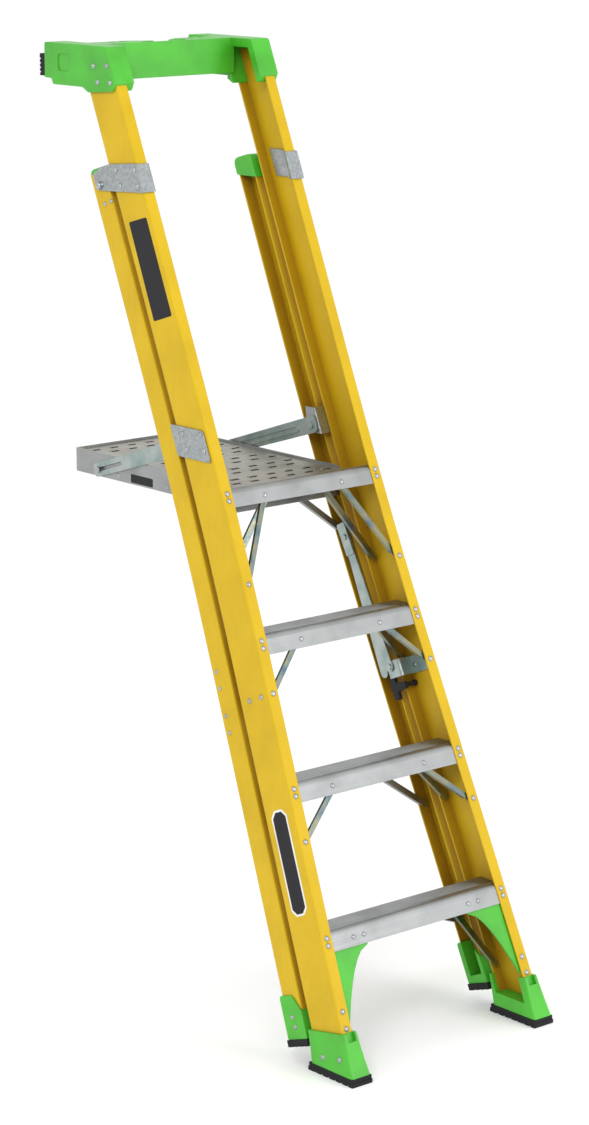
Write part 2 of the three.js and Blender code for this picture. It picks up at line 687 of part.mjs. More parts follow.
function capArm(side) {
  const z = (drop) => overallHeight - drop;
  const outline = rounded([
    [behindFront(capFrontV, z(79)), z(79), 3], [behindFront(capFrontV, z(90)) + 14, z(98), 6],
    [capRearY - 165, z(105), 6], [capRearY - 143, z(94), 6], [capRearY - 32, z(94), 4],
    [capRearY - 25, z(81), 4],
    [capRearY, z(80), 2], [capRearY, z(0), 6], [behindFront(capFrontV, z(0)), z(0), 10],
  ], 3, 3);
  const block = acrossX(outline, side * armInside, side * armOuter);
  const hollow = acrossX(rectangle(behindFront(frontRail.depth + 8, z(60)) + 16, capRearY - capWall,
    z(200), z(capWall + 4)), side * (armInside + capWall), side * (armOuter - capWall));
  const slot = acrossX(rounded(rectangle(capRearY - 98, capRearY - 50, z(63), z(23)), 12, 4),
    side * (armOuter - 2.5), side * (armOuter + 5));
  const skirt = acrossX(rectangle(behindFront(frontRail.depth + 6, z(83)), capRearY - 26, z(200), z(83)),
    side * (armInside - 5), side * (armOuter - 20));
  const rail = railBetween(side, grown(frontRail, gap), z(400), railTopZ + gap, 1);
  const open = railBetween(side, rectangle(frontRail.wall - 0.5, 90, frontRail.wall + 9,
    frontRail.depth - frontRail.wall - 2), z(400), z(20), 1);
  return cut(block, hollow, slot, skirt, rail, open);
}

function capSpan() {
  const frontY = behindFront(spanFrontV, overallHeight);
  const x1 = armInside + 6;
  const plan = [
    [-x1, frontY], [x1, frontY], [x1, spanRearY], [70, spanRearY], [10, spanRearY - 46],
    [-10, spanRearY - 46], [-70, spanRearY], [-x1, spanRearY],
  ];
  const shell = upZ(plan, capLow, overallHeight);
  const [near, far] = [frontY + capWall, spanRearY - capWall];
  const x2 = x1 - capWall;
  const well = [
    [-x2, near], [x2, near], [x2, far], [72, far], [10, far - 50], [-10, far - 50], [-72, far],
    [-x2, far],
  ];
  const under = upZ(well, capLow - 20, overallHeight - capWall);
  const holes = [-128, -100, 100, 128].map((x) =>
    upZ(disc([x, frontY + 50], 9, 12), capLow, overallHeight + 10));
  const tray = upZ(rounded(rectangle(-60, 60, frontY + 10, frontY + 34), 10, 3),
    overallHeight - 2, overallHeight + 10);
  return cut(shell, under, tray, ...holes);
}

function topCap() {
  const shelf = sides.map(([, side]) => {
    const x0 = armInside - 4;
    const [y0, y1, x1] = [capRearY - 154, spanRearY - 4, armInside + 8];
    const top = [[side * x0, y0], [side * x0, y1], [side * x1, y1], [side * x1, y0]];
    return upZ(top, overallHeight - 30, overallHeight);
  });
  return joined(capSpan(), ...shelf, capArm(-1), capArm(1));
}
place('top_cap', topCap(), green);

function wallPad(side) {
  const [low, high] = [overallHeight - 77, overallHeight - 27];
  const face = capRearY + padThickness;
  const start = capRearY + gap;
  const outline = comb(low, high, face, face - 4, start, 5).map(([z, y]) => [y, z]);
  return acrossX(outline, side * (armInside + 1), side * (armOuter - 1));
}
onBothSides('wall_pad', wallPad, rubber);

// ---- Platform -----------------------------------------------------------------------
const deckBarRadius = 7;
function platformFrame() {
  const profile = rounded([
    [deckFront + 6, deckBottom + 18, 6], [deckFront + 40, deckBottom, 8], [deckRear, deckBottom, 4],
    [deckRear, deckSideTop, 2], [deckFront + 30, deckSideTop, 6], [deckFront + 4, deckTop - 3, 3],
  ], 3, 2);
  const walls = [-1, 1].map((side) =>
    acrossX(profile, side * (deckHalfWidth - deckWall), side * deckHalfWidth));
  const rim = [
    [deckRear - 22, deckTop - 5 - deckWall], [deckRear - 22, deckBottom + 8], [deckRear, deckBottom + 8],
  ];
  const rear = acrossX(folded([...rim.slice(0, 2), rim[2]], 2.5),
    -deckHalfWidth + 1, deckHalfWidth - 1);
  const lip = acrossX(rectangle(deckRear - 3, deckRear, deckBottom, deckSideTop),
    -deckHalfWidth + 1, deckHalfWidth - 1);
  const axle = acrossX(disc(deckHinge, deckBarRadius), -deckHalfWidth - 7, deckHalfWidth + 7);
  return joined(...walls, rear, lip, axle);
}
place('platform_frame', platformFrame(), aluminium);

function deckOutline() {
  const rear = deckRear - 3 - gap;
  const pitch = (rear - deckFront - 2) / plankCount;
  const top = [];
  for (let i = 0; i < plankCount; i += 1) {
    const y = deckFront + 2 + i * pitch;
    top.push([y + (i ? 1.6 : 0), deckTop], [y + pitch - 1.6, deckTop]);
    if (i < plankCount - 1) {
      top.push([y + pitch - 0.8, deckTop - 2], [y + pitch + 0.8, deckTop - 2]);
    }
  }
  return [[deckFront + 2, deckTop - 4.5], ...top, [rear, deckTop - 2], [rear, deckTop - 4.5]];
}
place('platform_deck', acrossX(deckOutline(),
  -deckHalfWidth + deckWall + gap, deckHalfWidth - deckWall - gap), aluminium);

// Riveted to the back of the front beam; the platform's axle turns in it.
function hingeBracket(side) {
  const [inner, outer] = [deckHalfWidth + 2, deckHalfWidth + 5];
  const backV0 = faceSetBack + beamDepth * cosLean + gap;
  const [low, high] = [beamCrest - beamFaceHeight + 5, beamCrest - 10];
  const foot = [
    [behindFront(backV0, low), low], [behindFront(backV0 + 3, low), low],
    [behindFront(backV0 + 3, high), high], [behindFront(backV0, high), high],
  ];
  const [y, z] = deckHinge;
  const outline = rounded([
    [behindFront(backV0, low), low, 0], [y - 4, z - 16], [y + 14, z - 16], [y + 14, z + 10],
    [behindFront(backV0, high), high, 0],
  ], 8, 3);
  const plate = acrossX(outline, side * inner, side * outer);
  const tab = acrossX(foot, side * (inner - 18), side * outer);
  const hole = acrossX(disc(deckHinge, deckBarRadius + pinGap), side * (inner - 9), side * (outer + 9));
  return cut(joined(plate, tab), hole);
}
onBothSides('platform_hinge_bracket', hingeBracket, zinc);

// ---- Platform arms ------------------------------------------------------------------
const armLength = Math.hypot(armStud[0] - armPivot[0], armStud[1] - armPivot[1]);
const armTurn = Math.atan2(armStud[1] - armPivot[1], armStud[0] - armPivot[0]);
const onArm = (points) => points.map(([a, b]) => [
  armPivot[0] + a * Math.cos(armTurn) - b * Math.sin(armTurn),
  armPivot[1] + a * Math.sin(armTurn) + b * Math.cos(armTurn),
]);

function armSolid(side) {
  const half = armWidth / 2;
  const slot = rounded(rectangle(armLength - slotLength + slotWidth / 2, armLength + slotWidth / 2,
    -slotWidth / 2, slotWidth / 2), slotWidth / 2, 4);
  const outline = rounded([
    [-half, -half], [armLength + 16, -half + 4], [armLength + 16, half - 4], [-half, half],
  ], 12, 4);
  const outer = armInner + armThickness;
  const plate = acrossX(onArm(outline), side * armInner, side * outer, [onArm(slot)]);
  const rib = acrossX(onArm(rounded(rectangle(44, 270, -9, 9), 8, 4)),
    side * (armInner - 2.2), side * (armInner + 1));
  const groove = acrossX(onArm(rounded(rectangle(50, 264, -4, 4), 3.5, 3)),
    side * (armInner - 4), side * (armInner + 0.6));
  const bolt = acrossX(onArm(disc([0, 0], boltRadius)), side * (armInner + 1), side * (outer + 8));
  const nut = acrossX(onArm(disc([0, 0], boltRadius + 0.8, 12)), side * (outer + 5.5), side * (outer + 11));
  const head = acrossX(onArm(disc([0, 0], 9, 12)), side * (armInner - 3), side * (armInner + 1));
  return joined(cut(joined(plate, rib), groove), bolt, nut, head);
}
onBothSides('platform_arm', armSolid, zinc);

function armStudSolid(side) {
  const outer = armInner + armThickness;
  const radius = slotWidth / 2 - 3 * gap;
  const shank = acrossX(onArm(disc([armLength, 0], radius, 12)), side * (armInner - 2), side * (outer + 1));
  const head = acrossX(onArm(disc([armLength, 0], 8, 12)), side * (outer + gap), side * (outer + 4));
  const washer = acrossX(onArm(disc([armLength, 0], 8, 12)),
    side * (armInner - 3), side * (armInner - gap));
  return joined(shank, head, washer);
}
onBothSides('arm_stud', armStudSolid, steel);

// ---- Origin at the middle of the base -----------------------------------------------
ladder.updateMatrixWorld(true);
const box = new THREE.Box3().setFromObject(ladder);
const middle = box.getCenter(new THREE.Vector3());
ladder.children.forEach((piece) => {
  piece.geometry.translate(-middle.x, -middle.y, -box.min.z);
});

export default ladder;
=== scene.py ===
# %% [markdown]
# # A platform step ladder, closed and leaning
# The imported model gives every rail, step, bracket and link. This script gives them their
# finishes and adds what is pressed, riveted or stuck on: rivets, deck slots and labels.

# %% Load the frame
import math

import bpy
import json
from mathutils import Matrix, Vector


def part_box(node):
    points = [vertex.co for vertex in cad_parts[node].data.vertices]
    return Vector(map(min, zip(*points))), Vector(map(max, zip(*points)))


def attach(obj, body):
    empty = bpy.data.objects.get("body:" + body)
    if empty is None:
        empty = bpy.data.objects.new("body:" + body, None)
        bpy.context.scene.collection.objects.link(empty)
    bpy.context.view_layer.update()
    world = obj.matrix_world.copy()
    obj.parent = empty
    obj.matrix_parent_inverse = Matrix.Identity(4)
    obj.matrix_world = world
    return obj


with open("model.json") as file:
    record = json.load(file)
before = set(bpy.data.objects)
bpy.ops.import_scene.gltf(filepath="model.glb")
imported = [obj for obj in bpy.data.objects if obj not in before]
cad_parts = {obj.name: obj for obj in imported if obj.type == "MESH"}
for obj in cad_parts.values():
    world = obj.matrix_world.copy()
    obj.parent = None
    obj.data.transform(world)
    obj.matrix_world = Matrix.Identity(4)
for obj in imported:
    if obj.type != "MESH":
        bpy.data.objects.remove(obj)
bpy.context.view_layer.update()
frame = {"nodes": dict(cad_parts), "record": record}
nodes = frame["nodes"]

# %% [markdown]
# ## Where things are on a leaning rail
# Everything on a rail is easier to place from the rail itself: `u` inboard of its outer
# face, `v` behind its front face and `s` up along it, all in millimetres. One function
# turns that into the frame's metres. The rails splay below mid height, so the outer face
# is looked up by height. A table of finished coordinates would hide why a rivet is there.

# %% The rails' own frame
LEAN = math.radians(22.95)
SIN, COS, TAN = math.sin(LEAN), math.cos(LEAN), math.tan(LEAN)
HEIGHT = 2168
PAD_Y = HEIGHT * TAN + 245.96  # face of the wall pads, before the model was centred
SHIFT_Y = PAD_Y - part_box("wall_pad_left")[1][1] * 1000
TOP_HALF, SPLAY, SPLAY_Z, EASE = 230.7, 0.0552, 1125.8, 301.8
RISE = 304.8


def half_width(z):
    """Outer face of a rail at height z."""
    drop = SPLAY_Z - z
    if drop >= EASE:
        return TOP_HALF + SPLAY * drop
    return TOP_HALF + SPLAY * max(drop + EASE, 0) ** 2 / (4 * EASE)


def along(v, z):
    """How far up the rail a point at depth v and height z is."""
    return (z + v * SIN) / COS


def level(x, y, z):
    """A point given level, in the CAD's millimetres."""
    return Vector((x, y - SHIFT_Y, z)) / 1000


def on_rail(side, u, v, s):
    """A point on a rail, in the frame's metres."""
    z = s * COS - v * SIN
    return level(side * (half_width(z) - u), s * SIN + v * COS, z)


FORWARD = Vector((0, -COS, SIN))
OUT = {side: Vector((side, 0, 0)) for side in (-1, 1)}
print("shift", round(SHIFT_Y, 2), "foot half width", round(half_width(0), 1))

# %% [markdown]
# ## Small tools for node materials
# Each finish is a Principled shader fed by noise in Object coordinates, so the pattern
# keeps its real size on every piece. Even values go straight on the shader's sockets.

# %% Material tools


def new_material(name, color, metal=0.0, rough=0.5, coat=0.0):
    """A node material with its even values set, and its tree and shader."""
    material = bpy.data.materials.new(name)
    material.use_nodes = True
    tree = material.node_tree
    shader = tree.nodes["Principled BSDF"]
    shader.inputs["Base Color"].default_value = (*color, 1)
    shader.inputs["Metallic"].default_value = metal
    shader.inputs["Roughness"].default_value = rough
    shader.inputs["Coat Weight"].default_value = coat
    shader.inputs["Coat Roughness"].default_value = 0.25
    shader.inputs["Specular IOR Level"].default_value = 0.5 if max(color) > 0.1 else 0.15
    return material, tree, shader


def node(tree, kind, **values):
    """A node with its properties and input defaults set by name."""
    made = tree.nodes.new(kind)
    for key, value in values.items():
        if key in made.inputs:
            made.inputs[key].default_value = value
        else:
            setattr(made, key, value)
    return made


def stretched(tree, scale, turn=(0, 0, 0)):
    """Object coordinates, turned and stretched."""
    place = node(tree, "ShaderNodeTexCoord")
    mapping = node(tree, "ShaderNodeMapping", Scale=scale, Rotation=turn)
    tree.links.new(place.outputs["Object"], mapping.inputs["Vector"])
    return mapping.outputs["Vector"]


def noise(tree, vector, scale, detail=3.0, rough=0.5):
    """A noise texture's factor."""
    made = node(tree, "ShaderNodeTexNoise", Scale=scale, Detail=detail, Roughness=rough)
    tree.links.new(vector, made.inputs["Vector"])
    return made.outputs["Fac"]


def ramp(tree, factor, stops):
    """A colour ramp over a factor; stops are (place, colour)."""
    made = node(tree, "ShaderNodeValToRGB")
    band = made.color_ramp
    band.elements[0].position, band.elements[1].position = stops[0][0], stops[-1][0]
    band.elements[0].color, band.elements[1].color = (*stops[0][1], 1), (*stops[-1][1], 1)
    for place, color in stops[1:-1]:
        band.elements.new(place).color = (*color, 1)
    tree.links.new(factor, made.inputs["Fac"])
    return made.outputs["Color"]


def spread(tree, factor, low, high):
    """A factor remapped between two values."""
    made = node(tree, "ShaderNodeMapRange")
    made.inputs["To Min"].default_value = low
    made.inputs["To Max"].default_value = high
    made.inputs["From Min"].default_value = 0.3
    made.inputs["From Max"].default_value = 0.7
    tree.links.new(factor, made.inputs["Value"])
    return made.outputs["Result"]


def bump(tree, shader, height, strength, distance, soft=0.0):
    """Relief on a shader, over edges rounded by `soft` metres."""
    made = node(tree, "ShaderNodeBump", Strength=strength, Distance=distance)
    tree.links.new(height, made.inputs["Height"])
    if soft:
        edge = node(tree, "ShaderNodeBevel", samples=4, Radius=soft)
        tree.links.new(edge.outputs["Normal"], made.inputs["Normal"])
    tree.links.new(made.outputs["Normal"], shader.inputs["Normal"])


# %% [markdown]
# ## Pultruded glass fibre
# The rails are pulled through a die with long fibres in a yellow resin. Under the satin
# skin the fibres show as faint streaks up the rail, and the resin varies slowly in tone.
# The streaks are one noise stretched along the lean. A flat yellow would look painted.
# An occlusion mask darkens the yellow to ochre inside the channels: painted shade.

# %% Glass fibre
fibre, tree, shader = new_material("glass_fibre", (0.62, 0.42, 0.005), rough=0.4)
shader.inputs["Specular IOR Level"].default_value = 0.25
streaks = noise(tree, stretched(tree, (900, 900, 14), (-LEAN, 0, 0)), 1.0, 4.0)
cloud = noise(tree, stretched(tree, (1, 1, 1)), 9.0, 3.0)
mixed = node(tree, "ShaderNodeMath", operation="MULTIPLY")
tree.links.new(streaks, mixed.inputs[0])
tree.links.new(cloud, mixed.inputs[1])
yellow = ramp(tree, mixed.outputs[0], [
    (0.12, (0.54, 0.355, 0.004)), (0.25, (0.60, 0.395, 0.005)), (0.38, (0.64, 0.425, 0.007))])
# Painted shade: ambient occlusion mixes the yellow towards a dark ochre inside the channels and
# between parts.
painted_shade_ao = node(tree, "ShaderNodeAmbientOcclusion", samples=6, Distance=0.22)
shade = node(tree, "ShaderNodeMapRange")
shade.inputs["From Min"].default_value = 0.25
shade.inputs["From Max"].default_value = 0.8
tree.links.new(painted_shade_ao.outputs["AO"], shade.inputs["Value"])
blend = node(tree, "ShaderNodeMix", data_type="RGBA", blend_type="MIX")
blend.inputs[6].default_value = (0.33, 0.175, 0.008, 1)
tree.links.new(shade.outputs["Result"], blend.inputs[0])
tree.links.new(yellow, blend.inputs[7])
tree.links.new(blend.outputs[2], shader.inputs["Base Color"])
tree.links.new(spread(tree, streaks, 0.34, 0.5), shader.inputs["Roughness"])
bump(tree, shader, streaks, 0.12, 0.0004, 0.0012)
print("fibre", len(tree.nodes), "nodes")

# %% [markdown]
# ## Mill aluminium
# Steps and the front beam are extrusions: fine die lines run along X, and the metal is
# pale and slightly milky. The deck is embossed sheet, with small dimples all over it.
# Both share one builder, since only the relief and the tone differ.

# %% Aluminium


def metal(name, color, rough, lines, line_scale, relief, soft=0.0006):
    """Bare metal with drawn lines: the tone, roughness and relief follow them."""
    material, tree, shader = new_material(name, color, metal=1.0, rough=rough)
    drawn = noise(tree, stretched(tree, lines), line_scale, 3.0)
    broad = noise(tree, stretched(tree, (1, 1, 1)), 14.0, 2.0)
    tone = [tuple(c * k for c in color) for k in (0.86, 1.0, 1.08)]
    tree.links.new(ramp(tree, broad, [(0.3, tone[0]), (0.5, tone[1]), (0.7, tone[2])]),
                   shader.inputs["Base Color"])
    tree.links.new(spread(tree, drawn, rough - 0.07, rough + 0.09), shader.inputs["Roughness"])
    bump(tree, shader, drawn, relief, 0.0003, soft)
    return material, tree, shader


step_metal, _, _ = metal("mill_aluminium", (0.335, 0.345, 0.345), 0.42, (3, 500, 500), 1.0, 0.15)
frame_metal, _, _ = metal("frame_aluminium", (0.34, 0.35, 0.345), 0.4, (300, 3, 500), 1.0, 0.1)
deck_metal, tree, shader = metal("embossed_deck", (0.385, 0.375, 0.335), 0.48, (3, 400, 400), 1.0, 0.1)
cells = node(tree, "ShaderNodeTexVoronoi", Scale=150.0, feature="SMOOTH_F1")
tree.links.new(stretched(tree, (1, 1, 1)), cells.inputs["Vector"])
bump(tree, shader, cells.outputs["Distance"], 0.8, 0.0016, 0.0006)
print("metals", step_metal.name, frame_metal.name, deck_metal.name)

# %% [markdown]
# ## Zinc, galvanised sheet and plain steel
# Zinc plating is passivated, so it turns from blue to green over a few centimetres. That
# is a colour ramp over slow noise. Galvanised brackets show pale spangles instead: a
# cell texture changes the tone from one crystal to the next.

# %% Plated steel


def zinc(name, tones, rough):
    """Passivated zinc: slow bands of tint over a metal."""
    material, tree, shader = metal(name, tones[1], rough, (60, 60, 60), 3.0, 0.1)
    tint = noise(tree, stretched(tree, (1, 1, 1)), 22.0, 2.0)
    stops = list(zip((0.32, 0.48, 0.62), tones))
    tree.links.new(ramp(tree, tint, stops), shader.inputs["Base Color"])
    return material


link_zinc = zinc("zinc_link", [(0.27, 0.35, 0.34), (0.34, 0.41, 0.39), (0.42, 0.46, 0.445)], 0.36)
brace_zinc = zinc("zinc_brace", [(0.09, 0.15, 0.19), (0.19, 0.22, 0.19), (0.27, 0.25, 0.15)], 0.34)
galvanised, tree, shader = metal("galvanised", (0.37, 0.395, 0.40), 0.36, (40, 40, 40), 2.0, 0.08)
spangle = node(tree, "ShaderNodeTexVoronoi", Scale=170.0)
tree.links.new(stretched(tree, (1, 1, 1)), spangle.inputs["Vector"])
tree.links.new(ramp(tree, spangle.outputs["Color"], [
    (0.2, (0.32, 0.35, 0.355)), (0.8, (0.42, 0.445, 0.45))]), shader.inputs["Base Color"])
bolt_steel, _, _ = metal("bolt_steel", (0.40, 0.41, 0.425), 0.28, (80, 80, 80), 4.0, 0.06)
print("plated", link_zinc.name, brace_zinc.name, galvanised.name)

# %% [markdown]
# ## Moulded green, rubber and black plastic
# Mouldings have a fine orange-peel skin and a faint drift in tone; rubber is dull, with a
# coarser grain. One builder with two noise sizes covers all three.

# %% Mouldings


def moulded(name, color, rough, grain, relief, coat=0.0):
    """A moulded skin: grain in the relief, a slow drift in tone and shine."""
    material, tree, shader = new_material(name, color, rough=rough, coat=coat)
    skin = noise(tree, stretched(tree, (1, 1, 1)), grain, 2.0)
    drift = noise(tree, stretched(tree, (1, 1, 1)), 11.0, 3.0)
    dark = tuple(c * 0.82 for c in color)
    light = tuple(min(c * 1.12, 1) for c in color)
    tree.links.new(ramp(tree, drift, [(0.3, dark), (0.7, light)]), shader.inputs["Base Color"])
    tree.links.new(spread(tree, drift, rough - 0.05, rough + 0.08), shader.inputs["Roughness"])
    bump(tree, shader, skin, relief, 0.0004, 0.0012)
    return material


green = moulded("green_moulding", (0.06, 0.43, 0.022), 0.38, 700.0, 0.2)
rubber = moulded("rubber", (0.022, 0.022, 0.024), 0.72, 420.0, 0.6)
black = moulded("black_plastic", (0.02, 0.02, 0.023), 0.45, 600.0, 0.3)
pale = moulded("label_border", (0.78, 0.78, 0.74), 0.4, 900.0, 0.05)
print("mouldings", green.name, rubber.name, black.name)

# %% [markdown]
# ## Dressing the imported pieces
# The record says which slot each piece belongs to, so one table from slot to finish
# dresses them all. Naming pieces one by one would miss a piece that is added later.

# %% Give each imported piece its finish
FINISH = {
    "fibreglass": fibre, "green_moulding": green, "rubber": rubber, "black_plastic": black,
    "aluminium_step": step_metal, "aluminium_frame": frame_metal, "aluminium_deck": deck_metal,
    "zinc_brace": brace_zinc, "zinc_link": link_zinc, "galvanised_bracket": galvanised,
    "stud_steel": bolt_steel,
}
for part in frame["record"]["subparts"]:
    slots = nodes[part["node"]].material_slots
    for held in slots:
        held.material = FINISH[part["material_slot"]]
print("finishes", len(FINISH))

# %% [markdown]
# ## Rivets
# A domed rivet is a low cap on a thin rim. One head is turned as a short profile, and a
# Geometry Nodes tree puts a copy on every point of a mesh, turned to the point's own
# direction and sized by its own radius. Placing heads by hand would hide the pattern.

# %% A turned rivet head


def lathe(name, profile, sides):
    """A closed turned solid from (radius, height) pairs that start and end on the axis."""
    rings = profile[1:-1]
    verts = [(0, 0, profile[0][1])]
    for radius, height in rings:
        for i in range(sides):
            turn = 2 * math.pi * i / sides
            verts.append((radius * math.cos(turn), radius * math.sin(turn), height))
    verts.append((0, 0, profile[-1][1]))
    faces = []
    for i in range(sides):
        j = (i + 1) % sides
        faces.append((0, 1 + j, 1 + i))
        for k in range(len(rings) - 1):
            a, b = 1 + k * sides, 1 + (k + 1) * sides
            faces.append((a + i, a + j, b + j, b + i))
        last = 1 + (len(rings) - 1) * sides
        faces.append((last + i, last + j, len(verts) - 1))
    mesh = bpy.data.meshes.new(name)
    mesh.from_pydata(verts, [], faces)
    for face in mesh.polygons:
        face.use_smooth = True
    return bpy.data.objects.new(name, mesh)


HEAD = [(0, -0.1), (0.95, -0.1), (1.0, 0.0), (0.97, 0.12), (0.82, 0.34), (0.55, 0.5),
        (0.25, 0.58), (0, 0.6)]
head = lathe("rivet_head", HEAD, 14)
flat_head = lathe("flat_rivet_head", [(radius, height * 0.45) for radius, height in HEAD], 14)
print("head faces", len(head.data.polygons))

# %% [markdown]
# ## Copying a shape to many points
# The tree reads a direction and a size from each point, copies the shape there, makes the
# copies real and sets their finish. The result is kept as one plain mesh for each body,
# so it moves with that body and needs nothing at render time.

# %% The tree that copies a shape to points


def copy_tree(name):
    """Copies Shape to each point, Z along its `facing`, scaled by its `size`."""
    tree = bpy.data.node_groups.new(name, "GeometryNodeTree")
    face = tree.interface
    face.new_socket("Points", in_out="INPUT", socket_type="NodeSocketGeometry")
    face.new_socket("Shape", in_out="INPUT", socket_type="NodeSocketObject")
    face.new_socket("Scale", in_out="INPUT", socket_type="NodeSocketFloat")
    face.new_socket("Material", in_out="INPUT", socket_type="NodeSocketMaterial")
    face.new_socket("Geometry", in_out="OUTPUT", socket_type="NodeSocketGeometry")
    add = tree.nodes.new
    source, result = add("NodeGroupInput"), add("NodeGroupOutput")
    shape, copies = add("GeometryNodeObjectInfo"), add("GeometryNodeInstanceOnPoints")
    facing, size = add("GeometryNodeInputNamedAttribute"), add("GeometryNodeInputNamedAttribute")
    facing.data_type, size.data_type = "FLOAT_VECTOR", "FLOAT"
    facing.inputs["Name"].default_value, size.inputs["Name"].default_value = "facing", "size"
    turn = add("FunctionNodeAlignRotationToVector")
    turn.axis = "Z"
    scale = add("ShaderNodeMath")
    scale.operation = "MULTIPLY"
    real, finish = add("GeometryNodeRealizeInstances"), add("GeometryNodeSetMaterial")
    link = tree.links.new
    link(source.outputs["Points"], copies.inputs["Points"])
    link(source.outputs["Shape"], shape.inputs["Object"])
    link(shape.outputs["Geometry"], copies.inputs["Instance"])
    link(facing.outputs["Attribute"], turn.inputs["Vector"])
    link(turn.outputs["Rotation"], copies.inputs["Rotation"])
    link(size.outputs["Attribute"], scale.inputs[0])
    link(source.outputs["Scale"], scale.inputs[1])
    link(scale.outputs[0], copies.inputs["Scale"])
    link(copies.outputs["Instances"], real.inputs["Geometry"])
    link(real.outputs["Geometry"], finish.inputs["Geometry"])
    link(source.outputs["Material"], finish.inputs["Material"])
    link(finish.outputs["Geometry"], result.inputs["Geometry"])
    return tree


COPIES = copy_tree("copies_on_points")


def scatter(name, shape, spots, material, body):
    """One plain mesh of copies at (place, facing, size in millimetres), riding on a body."""
    mesh = bpy.data.meshes.new(name + "_points")
    mesh.from_pydata([place for place, _, _ in spots], [], [])
    mesh.attributes.new("facing", "FLOAT_VECTOR", "POINT")
    mesh.attributes.new("size", "FLOAT", "POINT")
    for i, (_, way, radius) in enumerate(spots):
        mesh.attributes["facing"].data[i].vector = way
        mesh.attributes["size"].data[i].value = radius
    points = bpy.data.objects.new(name + "_points", mesh)
    bpy.context.scene.collection.objects.link(points)
    modifier = points.modifiers.new("copies", "NODES")
    modifier.node_group = COPIES
    sockets = {item.name: item.identifier for item in COPIES.interface.items_tree}
    modifier[sockets["Shape"]] = shape
    modifier[sockets["Scale"]] = 0.001
    modifier[sockets["Material"]] = material
    posed = points.evaluated_get(bpy.context.evaluated_depsgraph_get())
    plain = bpy.data.meshes.new_from_object(posed)
    bpy.data.objects.remove(points)
    plain.name = name
    made = bpy.data.objects.new(name, plain)
    bpy.context.scene.collection.objects.link(made)
    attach(made, body)
    print(name, len(spots), "copies", len(plain.polygons), "faces")
    return made


# %% [markdown]
# ## Where the rivets go
# Two rivets in each rail's flange hold each step, and its face takes one for each brace.
# Those heights come from the step rise, so that pattern climbs with the steps. Corner
# braces, brace feet, brackets, boots and cap have theirs placed one by one.

# %% Rivets of the front frame
FLANGE_RIVET, WEB_RIVET, CAP_RIVET, FACE_RIVET, SMALL_RIVET = 6.6, 6.4, 6.2, 6.0, 5.6
INNER_RIVET, REAR_RIVET, HINGE_BOLT = 5.0, 5.4, 8.5
BRACKET_FACE, ARM_BRACKET_FACE, BOOT_FACE, HINGE_FACE = -3.3, -3.75, -7.2, -7.2
CAP_SIDE, STRAP_FACE = 236.7, 7.3
STEP_FACE_V = 2
front = []
for side in (-1, 1):
    def flange(z, u=15, side=side):
        front.append((on_rail(side, u, 0, along(0, z)), FORWARD, FLANGE_RIVET))

    for k in range(4):
        middle = 287 + RISE * k + (2.6 if k == 3 else 0)
        flange(middle - 7.5)
        flange(middle + 7.5)
    for z in (490.9, 795.7, 1021.9, 146.6, 112.0):
        flange(z)
    for v, s in ((76, 2091), (11, 2069), (75, 2053), (14, 2032)):
        front.append((on_rail(side, BRACKET_FACE, v, s), OUT[side], WEB_RIVET))
    for v, s in ((81, 1477), (21, 1458), (80, 1440), (21, 1421)):
        front.append((on_rail(side, ARM_BRACKET_FACE, v, s), OUT[side], WEB_RIVET))
    for v, s in ((67, 863), (25, 863)):
        front.append((on_rail(side, 0, v, s), OUT[side], WEB_RIVET))
        front.append((on_rail(side, STRAP_FACE, v, s), OUT[-side], INNER_RIVET))
    for v, s in ((71, 73), (18, 61)):
        front.append((on_rail(side, BOOT_FACE, v, s), OUT[side], FLANGE_RIVET))
    front.append((on_rail(side, HINGE_FACE, 146, along(146, 1856.3)), OUT[side], HINGE_BOLT))
    for y, z in ((959, 2123), (910, 2126), (944, 2088), (898, 2089)):
        front.append((level(side * CAP_SIDE, y, z), OUT[side], CAP_RIVET))
for n in (2, 3, 4):
    x = {2: 136, 3: 116.5, 4: 113.5}[n]
    for side in (-1, 1):
        z = n * RISE - 23
        front.append((level(side * x, z * TAN + STEP_FACE_V / COS, z), FORWARD, FACE_RIVET))
for x in (-187, -157, 157, 187):
    front.append((level(x, 282 * TAN + STEP_FACE_V / COS, 282), FORWARD, SMALL_RIVET))
scatter("rivets_front", head, front, bolt_steel, "front_frame")

# %% Rivets of the rear frame and the platform
rear = []
for side in (-1, 1):
    for v, s in ((160, 948), (160, 910), (160, 847), (160, 809), (147.5, 2034), (123, 2033)):
        rear.append((on_rail(side, 0, v, s), OUT[side], REAR_RIVET))
    for v, s in ((151, 170), (147, 148)):
        rear.append((on_rail(side, -3.5, v, s), OUT[side], SMALL_RIVET))
scatter("rivets_rear", head, rear, bolt_steel, "rear_frame")
deck = []
DECK_HALF = 165
for side in (-1, 1):
    for y in (798, 979):
        deck.append((level(side * DECK_HALF, y, 1175), OUT[side], SMALL_RIVET))
scatter("rivets_platform", flat_head, deck, bolt_steel, "platform")
